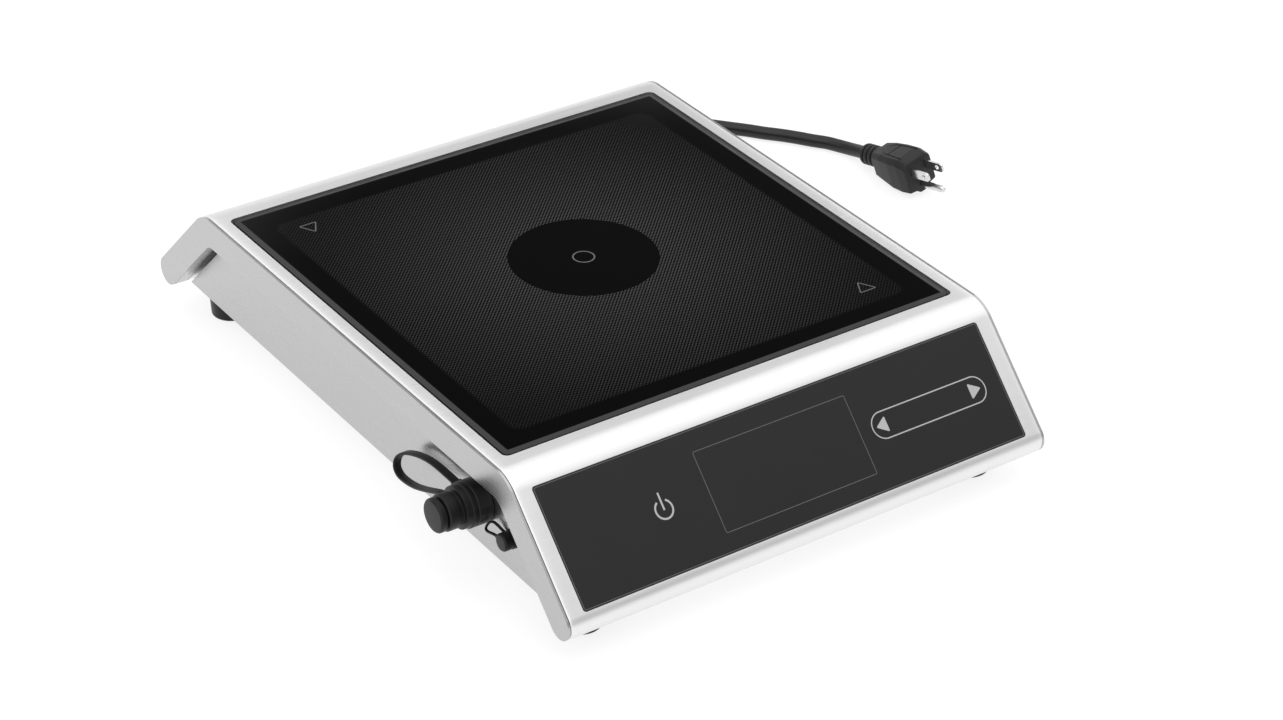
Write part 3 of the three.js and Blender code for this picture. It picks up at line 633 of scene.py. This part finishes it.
def plug_shell():
    rings = []
    for near, far in zip(PLUG_BODY, PLUG_BODY[1:]):
        for step in range(6):
            row = [a + (b - a) * step / 6 for a, b in zip(near, far)]
            rings.append([(row[0], y, z) for y, z in plug_outline(*row[1:])])
    # the face's edge is rounded over the last 0.8 mm
    top, flat, side, bottom = PLUG_BODY[-1][1:]
    for x, inset in ((-0.8, 0.0), (-0.25, 0.25), (0.0, 0.9)):
        outline = plug_outline(top - inset, flat - inset, side - inset, bottom + inset)
        rings.append([(x, y, z) for y, z in outline])
    return sections(rings)


def plug_grip():
    """the moulded body, with an arrow and a bar cut into its flat top"""
    body = piece("plug_grip", lay(plug_shell()), PLUG_RUBBER, stands_for=["plug_body"])
    arrow = [(-32, 0), (-25, 6.0), (-5, 7.4), (-5, -7.4), (-25, -6.0)]
    groove = stroke(soften(arrow, 1.5, closed=True), 0.8, closed=True)
    outer = [quad[0] for quad in groove]
    inner = [quad[3] for quad in groove]
    rows = ((outer, 8.9), (outer, 12), (inner, 12), (inner, 8.9), (outer, 8.9))
    ring = sections([[(x, y, z) for x, y in line] for line, z in rows], closed_ends=False)
    bar = along_z([(-21, -5.8), (-20.2, -5.8), (-20.2, 5.8), (-21, 5.8)], 8.8, 12)
    carve(body, lay(ring), lay(bar))


def plug_relief():
    profile = [(0, 34), (7.3, 34)]
    for start in RELIEF_RINGS:
        profile += [(7.3, start), (6.0, start + 0.35), (6.0, start + 1.25), (7.3, start + 1.6)]
    profile += [(7.2, 51), (6.6, 52), (4.6, 52.2), (0, 52.2)]
    relief = turned(soften(profile, 0.5), lambda a, b, h: (-h, a, b), 48)
    piece("plug_relief", lay(relief), PLUG_RUBBER, sharp=50)


def plug_contacts():
    blade = [(0.3, -3.17), (15.2, -3.17), (BLADE_TIP, -1.8), (BLADE_TIP, 1.8), (15.2, 3.17), (0.3, 3.17)]
    blade = soften(blade, 0.5, closed=True)
    for side, name in ((-1, "plug_blade_left"), (1, "plug_blade_right")):
        y = side * BLADE_SIDE
        plate = sections([[(x, y + t, z) for x, z in blade] for t in (-0.75, 0.75)])
        hole = turned([(1.6, -2), (1.6, 2)], lambda a, b, h, y=y: (BLADE_HOLE + a, y + h, b), 24)
        made = piece(f"{name}_plated", lay(plate), BRASS, stands_for=[name])
        carve(made, lay(hole))
        bevel(made, 0.2, 2, 40)
    pin = soften([(0, 0.3), (2.4, 0.3), (2.4, 18.4), (1.8, 20.3), (0.8, 21), (0, 21)], 0.6)
    pin = turned(pin, lambda a, b, h: (h, a, b - PIN_DROP), 32)
    piece("plug_ground_pin_plated", lay(pin), BRASS, stands_for=["plug_ground_pin"])


cord = make_cord()
cord_tie()
plug_grip()
plug_relief()
plug_contacts()
dress_frame()


# ---------------------------------------------------------------- shell
def skin_line(depth):
    """(y, z) points at a depth under the outer face, from the rear inner edge to the front one"""
    rear = [(SLOPE_SUM - (SHELL_T - depth) * SQRT2 - BAND_Z, BAND_Z)]
    rear += arc(LIP_Y, LIP_Z, LIP_R - depth, 225, 405, 48)
    rear += arc(BEND_Y, BEND_Z, BEND_R - depth, 45, 90, 16)
    return rear + [(-y, z) for y, z in reversed(rear)]


def roll(x):
    """how far the cover's sheet drops at a distance from the middle"""
    return ROLL_DROP * max((abs(x) - ROLL_START) / (HALF_W - ROLL_START), 0.0) ** 2


def cover_columns(side):
    """(x, drop of the rounded edge) from one end of the cover to its middle"""
    seam, edge, _ = ENDS[side]
    end = HALF_W - SHEET - seam
    drops = [(end, edge), (end - 0.08, edge / 3), (end - 0.28, 0.0)]
    drops += [(x, 0) for x in (159, 158, 157, ROLL_START, 150, 80, 10)]
    return [(side * x, drop) for x, drop in drops]


def top_cover():
    rings = []
    for x, edge in [*cover_columns(-1), *reversed(cover_columns(1))]:
        outer = skin_line(roll(x) + edge)
        inner = skin_line(SHEET + roll(x))
        rings.append([(x, y, z) for y, z in [*outer, *reversed(inner)]])
    count = len(rings[0])
    verts, faces = sections(rings, closed_ends=False)
    # the sheet's two cut ends, strip by strip
    for base in (0, (len(rings) - 1) * count):
        for i in range(count // 2 - 1):
            faces.append((base + i, base + i + 1, base + count - 2 - i, base + count - 1 - i))
    cover = piece("cover_sheet", (verts, faces), STEEL, stands_for=["top_cover"])
    cutters = [along_z(rounded_rect(-CUTOUT_X, CUTOUT_X, -CUTOUT_Y, CUTOUT_Y, 4), TOP_Z - 5, TOP_Z + 5)]
    panel = rounded_rect(-PANEL_X - 0.3, PANEL_X + 0.3,
                         PANEL_START - 0.3, PANEL_START + PANEL_LENGTH + 0.3, 2)
    cutters.append(on_slope(panel, -3, 4))
    top = BAND_Z + SHEET + 0.1
    zone = [(RETURN_SUM - top, top), (RETURN_SUM, 0), (120, 0), (120, top)]
    for side in (-1, 1):
        outline = [(side * y, z) for y, z in zone]
        cutters += [along_x(outline, -HALF_W - 1, -WALL_X), along_x(outline, WALL_X, HALF_W + 1)]
    carve(cover, *cutters)
    bevel(cover, 0.18, 2, 50)


def inner_line(offset):
    """the rear half of the shell's inner outline, from the band down to the lip"""
    total = SLOPE_SUM - (SHELL_T - offset) * SQRT2
    z = BAND_Z + offset
    r = INNER_FILLET + offset
    run = r * math.tan(math.radians(22.5))
    return arc(total - z - run, z - r, r, 90, 45, 12)


def mirrored(rear):
    """a rear half line joined to its mirror image at the front"""
    return [*((-y, z) for y, z in reversed(rear)), *rear]


def side_plate(side, name):
    """an end plate, flush with the cover, and its flange that turns in under the band"""
    rear = inner_line(0)
    rear += arc(LIP_Y, LIP_Z, LIP_R - PLATE_UNDER, 225, 405, 48)
    rear += arc(BEND_Y, BEND_Z, BEND_R - PLATE_UNDER, 45, 90, 14)
    outline = [*rear, *((-y, z) for y, z in reversed(rear))]
    face = mirrored([*inner_line(0), *arc(LIP_Y, LIP_Z, LIP_R, 225, 256, 8)])
    back = mirrored([*inner_line(SHEET), *arc(LIP_Y, LIP_Z, LIP_R - SHEET, 225, 256, 8)])
    plate = along_x(outline, side * (HALF_W - SHEET), side * HALF_W)
    section = [*face, *reversed(back)]
    flange = [[(side * x, y, z) for y, z in section] for x in (WALL_X + 0.3, HALF_W - SHEET)]
    made = piece(f"end_plate_{name}", merge(plate, sections(flange)), SHADED_STEEL,
                 stands_for=[f"side_plate_{name}"])
    bevel(made, ENDS[side][2], 3, 50)


top_cover()
side_plate(-1, "left")
side_plate(1, "right")
bevel(frame["nodes"]["base_pan"], 0.4, 2, 40)


# ---------------------------------------------------------------- glass and its seal
BEVEL_W = 3.3
BEVEL_FOOT_Z = 88.2


def glass_ring(inset, z):
    outline = rounded_rect(-GLASS_X + inset, GLASS_X - inset, -GLASS_Y + inset, GLASS_Y - inset,
                           max(3.5 - inset, 0.8), 8)
    return [(x, y, z) for x, y in outline]


def glass():
    """the plate; its bevel, 3.3 mm wide, has a greyer material"""
    levels = [(0, 85), (0, 88.1), (0.12, 88.28), (0.35, 88.38), (BEVEL_W, 88.96), (3.75, 89.0)]
    rings = [glass_ring(inset, z) for inset, z in levels]
    plate = piece("cook_plate", sections(rings), COOKING_GLASS, stands_for=["glass_top"],
                  sharp=12)
    plate.data.materials.append(GLASS_EDGE)
    for face in plate.data.polygons:
        centre = face.center * MM
        reach = max(abs(centre.x - CENTRE_X) - GLASS_X, abs(centre.y) - GLASS_Y)
        if centre.z > BEVEL_FOOT_Z and reach > -BEVEL_W:
            face.material_index = 1


def seal():
    """the silicone bead between the glass and the cover, with its foot under the glass"""
    levels = [(0, 83.2), (0, 87.7), (0.15, 88.0), (0.45, 88.12), (0.8, 88.0), (0.95, 87.7),
              (0.95, 84.7), (7, 84.7), (7, 83.2), (0, 83.2)]
    rings = []
    for inset, z in levels:
        x, y = CUTOUT_X - 0.3 - inset, CUTOUT_Y - 0.3 - inset
        rings.append([(a, b, z) for a, b in rounded_rect(-x, x, -y, y, 3.7 - inset * 0.5, 8)])
    piece("seal_bead", sections(rings, closed_ends=False), SILICONE, stands_for=["glass_seal"])


def print_on_glass():
    """a small ring at the zone's centre and two corner triangles"""
    quads = stroke([(ZONE_X + x, y) for x, y in arc(0, 0, 6.3, 0, 355, 70)], 0.9, closed=True)
    for x, y, point in ((-116, 116, -1), (114, -116, 1)):
        corners = [(x - 5.5, y - point * 5), (x + 5.5, y - point * 5), (x, y + point * 5)]
        quads += stroke(soften(corners, 1.0, closed=True, steps=5), 0.7, closed=True)
    shapes = [along_z(quad, TOP_Z - 0.02, TOP_Z + 0.02) for quad in quads]
    piece("glass_print", merge(*shapes), FAINT_INK_AND_HIGHLIGHT)


glass()
seal()
print_on_glass()


# ---------------------------------------------------------------- controls
def control_glass():
    rings = []
    for inset, depth in ((0.0, 2.6), (0.0, 0.3), (0.1, 0.1), (0.3, 0.0)):
        outline = rounded_rect(-PANEL_X + inset, PANEL_X - inset, PANEL_START + inset,
                               PANEL_START + PANEL_LENGTH - inset, 1.7 - inset, 6)
        rings.append([slope_point(x, s, depth) for x, s in outline])
    piece("control_plate", sections(rings), CONTROL_GLASS, stands_for=["control_glass"],
          sharp=20)


def drawn(name, quads, material):
    """printed quads in (x, distance from the panel's upper edge)"""
    shapes = [on_slope([(x, PANEL_START + s) for x, s in quad], -0.03, 0.01) for quad in quads]
    piece(name, merge(*shapes), material)


POWER_X, POWER_S = -83, 35.5  # middle of the power symbol
SLIDER_S = 35.75  # the slider's middle line


def control_marks():
    """the power symbol, the slider with an arrow at each end, the display's outline, and a rim line that
    is a painted highlight of the glass's edge
    """
    marks = stroke([(POWER_X + a, POWER_S + b) for a, b in arc(0, 0, 5.3, -60, 240, 60)], 1.1)
    marks += stroke([(POWER_X, 26.0), (POWER_X, 36.0)], 1.1)
    marks += stroke(rounded_rect(58, 138.5, SLIDER_S - 7.75, SLIDER_S + 7.75, 7.74, 14), 0.7, closed=True)
    for tip, base in ((60.5, 68.0), (135.5, 127.5)):
        triangle = [(tip, SLIDER_S), (base, SLIDER_S - 4.75), (base, SLIDER_S + 4.75)]
        triangle = soften(triangle, 1.2, closed=True, steps=5)
        middle = (sum(p[0] for p in triangle) / len(triangle), SLIDER_S)
        marks += [[middle, a, b] for a, b in zip(triangle, [*triangle[1:], triangle[0]])]
    drawn("control_marks", marks, INK)
    faint = stroke(rounded_rect(-53.5, 49, 12.5, 59.5, 1.0, 4), 0.4, closed=True)
    # painted highlight: a faint line just inside the control glass's edge
    faint += stroke(rounded_rect(-149.8, 149.8, 0.7, PANEL_LENGTH - 0.7, 1.2, 4), 0.35, closed=True)
    drawn("display_outline_and_rim_highlight", faint, FAINT_INK_AND_HIGHLIGHT)


control_glass()
control_marks()


# ---------------------------------------------------------------- sockets and caps
def lug(axis, outs, ys, half_z, tilt):
    """a strap's flat end, tilted about the socket's axis"""
    corners = [(ys[0], -half_z), (ys[1], -half_z), (ys[1], half_z), (ys[0], half_z)]
    outline = soften(corners, 0.5, closed=True)
    c, s = math.cos(math.radians(tilt)), math.sin(math.radians(tilt))
    turned_line = [(axis[0] + y * c - z * s, axis[1] + y * s + z * c) for y, z in outline]
    return along_x(turned_line, -WALL_X - outs[0], -WALL_X - outs[1])


def band(axis, stops, wide, thick):
    """a flat band along (y, z, out) stops from an axis, its width along X"""
    route = smooth_path([(-WALL_X - out, axis[0] + y, axis[1] + z) for y, z, out in stops], 7)
    w, t = wide / 2, thick / 2
    outline = soften([(-w, -t), (w, -t), (w, t), (-w, t)], thick * 0.4, closed=True, steps=3)
    rings = []
    for i, p in enumerate(route):
        run = route[min(i + 1, len(route) - 1)] - route[max(i - 1, 0)]
        across = Vector((0, -run.z, run.y)).normalized()
        rings.append([tuple(p + Vector((a, 0, 0)) + across * b) for a, b in outline])
    return sections(rings)


def probe_socket():
    where = at_wall(PROBE)
    jack = [(4.6, -12), (9, -12), (9, 0.15), (13.2, 0.15), (13.2, 9.5), (9, 9.5), (9, 14), (4.6, 14),
            (4.6, -12)]
    root = lug(PROBE, (2.6, 8.6), (12, 17.4), 1.2, 11)
    piece("probe_jack", merge(turned(soften(jack, 0.9), where, 96), root), PLASTIC,
          stands_for=["probe_socket"])
    cap = [(0, 6), (4.6, 6), (4.6, 14.3), (9.3, 14.3), (9.3, 9.8), (13.2, 9.8), (13.2, 12.4), (12.4, 12.6),
           (12.4, 16.4), (9.6, 16.7), (9.6, 18.9), (10.6, 19.2), (10.6, 25.2), (9.9, 25.9), (8.0, 26.1),
           (8.0, 27.2), (9.9, 27.4), (9.9, 30.0), (9.0, 31), (0, 31)]
    pull = lug(PROBE, (11, 16.8), (12, 17.4), 1.2, -3)
    piece("probe_dust_cap", merge(turned(soften(cap, 0.3), where, 96), pull), RUBBER, body="probe_cap",
          stands_for=["probe_cap"])
    route = [
        (16.6, -0.9, 14), (21, -2.5, 14), (28, -5.6, 14), (36, -9.1, 14), (46, -12.8, 13.8),
        (56, -15.3, 13.2), (65, -16.3, 12.2), (70.2, -14.4, 11), (71, -10.2, 9.8), (67.5, -5.4, 8.5),
        (60, -1.4, 7.3), (49, 1.8, 6.2), (38, 3.3, 5.7), (26, 3.4, 5.6), (16.6, 3.3, 5.6),
    ]
    strap = piece("probe_cap_leash", band(PROBE, route, 5, 1.6), RUBBER, body=None,
                  stands_for=["probe_strap"])
    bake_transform(strap)


def service_socket():
    where = at_wall(SERVICE)
    jack = soften([(0, -8), (4, -8), (4, 0.15), (5.6, 0.15), (5.6, 2.4), (0, 2.4)], 0.4)
    root = lug((SERVICE[0], SERVICE[1] - 1.6), (0.3, 2.2), (4.1, 7.6), 0.8, 0)
    piece("service_jack", merge(turned(jack, where), root), PLASTIC,
          stands_for=["service_socket"])
    cap = soften([(0, 2.7), (5.5, 2.7), (5.5, 4.2), (4.2, 4.4), (4.2, 5.5), (5.2, 5.8), (5.2, 9.1),
                  (4.5, 9.9), (0, 9.9)], 0.3)
    pull = lug(SERVICE, (7, 8.8), (3.5, 7), 0.8, 0)
    piece("service_dust_cap", merge(turned(cap, where), pull), RUBBER, body="service_cap",
          stands_for=["service_cap"])
    route = [
        (6.6, 0, 7.9), (10, -0.8, 7.8), (14.5, -2.5, 7.4), (18.5, -3.9, 6.7), (20.8, -4.1, 5.7),
        (21.4, -2.8, 4.5), (20.4, -0.9, 3.4), (18, 0.3, 2.6), (14.8, -0.3, 1.9), (11.2, -1.4, 1.4),
        (7.2, -1.7, 1.3),
    ]
    strap = piece("service_cap_leash", band(SERVICE, route, 1.7, 1.2), RUBBER, body=None,
                  stands_for=["service_strap"])
    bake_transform(strap)


probe_socket()
service_socket()


# ---------------------------------------------------------------- feet and cord gland
def foot(name, x, y):
    """a tapered rubber foot, hollow for its screw"""
    profile = [(2.4, 13), (5, 13), (5, 0.6), (5.6, 0), (11.6, 0), (12.5, 0.9), (13.1, 12), (13.5, 15.4),
               (13.5, 18.7), (2.4, 18.7), (2.4, 13)]
    shape = turned(soften(profile, 0.7), lambda a, b, h: (x + a, y + b, h), 72)
    piece(f"foot_{name}_moulded", shape, RUBBER, stands_for=[f"foot_{name}"])


for foot_name, (foot_x, foot_y) in FEET.items():
    foot(foot_name, foot_x, foot_y)


def strain_relief():
    """a flange, then a tapered sleeve with rings cut round it"""
    profile = [(0, -6), (6.4, -6), (6.4, 0.15), (9, 0.15), (9, 3.2), (7.5, 4.4)]
    for i in range(5):
        start = 6.5 + i * 3.7
        r = 7.4 - 0.084 * (start - 4.6)
        profile += [(r, start), (r - 1.1, start + 0.35), (r - 1.2, start + 1.25), (r - 0.12, start + 1.6)]
    profile += [(5.7, 25.2), (5.2, 26), (0, 26)]
    piece("cord_sleeve", turned(soften(profile, 0.4), at_rear, 48), RUBBER,
          stands_for=["cord_strain_relief"], sharp=50)


strain_relief()


# ---------------------------------------------------------------- floor, light and background
FLOOR_HALF, FLOOR_Z = 12000.0, -0.1
WORLD_LEVEL = 1.3
FLAGS = [  # direction, cosines of the flag's outer and inner angle, level inside
    ((0.49, 0.69, 0.53), 0.978, 0.992, 0.1),  # behind on the right: the glass mirrors it
    ((-0.55, 0.68, 0.45), 0.8, 0.95, 0.5),  # behind on the left
    ((0.5, -0.83, 0.25), 0.72, 0.95, 0.38),  # low in front on the right
    ((0.4, 0.9, 0.1), 0.87, 0.98, 0.72),  # low behind
]


def make_floor():
    corners = [(-1, -1), (1, -1), (1, 1), (-1, 1)]
    verts = [(x * FLOOR_HALF, y * FLOOR_HALF, FLOOR_Z) for x, y in corners]
    piece("floor", (verts, [(0, 1, 2, 3)]), floor_material(), body=None)


def floor_material():
    """white paper that glows a little, so that the shadows on it stay pale"""
    s = Shader("pale_floor", Roughness=0.9)
    s.shader.inputs["Specular IOR Level"].default_value = 0.0
    fibre = s.noise(s.coordinates(), 300.0, 2.0)
    s.feed("Base Color", s.mix(fibre, grey(0.24), grey(0.27)))
    s.shader.inputs["Emission Color"].default_value = grey(1.0)
    s.shader.inputs["Emission Strength"].default_value = 0.8
    return s.material


def area_light(name, at, towards, size, power):
    data = bpy.data.lights.new(name, "AREA")
    data.shape = "RECTANGLE"
    data.size, data.size_y = size
    data.energy = power
    light = bpy.data.objects.new(name, data)
    light.location = at
    aim = Vector(towards) - Vector(at)
    light.rotation_euler = aim.to_track_quat("-Z", "Y").to_euler()
    bpy.context.scene.collection.objects.link(light)


def make_world():
    """a bright surround, darker inside each flag"""
    world = bpy.data.worlds.new("studio")
    bpy.context.scene.world = world
    world.use_nodes = True
    tree = world.node_tree
    sky = tree.nodes["Background"]
    sky.inputs["Color"].default_value = grey(1.0)
    where = tree.nodes.new("ShaderNodeTexCoord")
    level = tree.nodes.new("ShaderNodeValue")
    level.outputs[0].default_value = WORLD_LEVEL
    for direction, outer, inner, inside in FLAGS:
        toward = tree.nodes.new("ShaderNodeVectorMath")
        toward.operation = "DOT_PRODUCT"
        toward.inputs[1].default_value = Vector(direction).normalized()
        ramp = tree.nodes.new("ShaderNodeMapRange")
        ramp.interpolation_type = "SMOOTHSTEP"
        for i, value in enumerate((outer, inner, 1.0, inside)):
            ramp.inputs[i + 1].default_value = value
        shaded = tree.nodes.new("ShaderNodeMath")
        shaded.operation = "MULTIPLY"
        tree.links.new(where.outputs["Generated"], toward.inputs[0])
        tree.links.new(toward.outputs["Value"], ramp.inputs[0])
        tree.links.new(ramp.outputs[0], shaded.inputs[0])
        tree.links.new(level.outputs[0], shaded.inputs[1])
        level = shaded
    tree.links.new(level.outputs[0], sky.inputs["Strength"])


make_floor()
make_world()
area_light("overhead", at=(-0.6, -0.4, 2.6), towards=(0, 0, 0), size=(2.0, 2.0), power=6)
bpy.context.scene.view_settings.view_transform = "Standard"
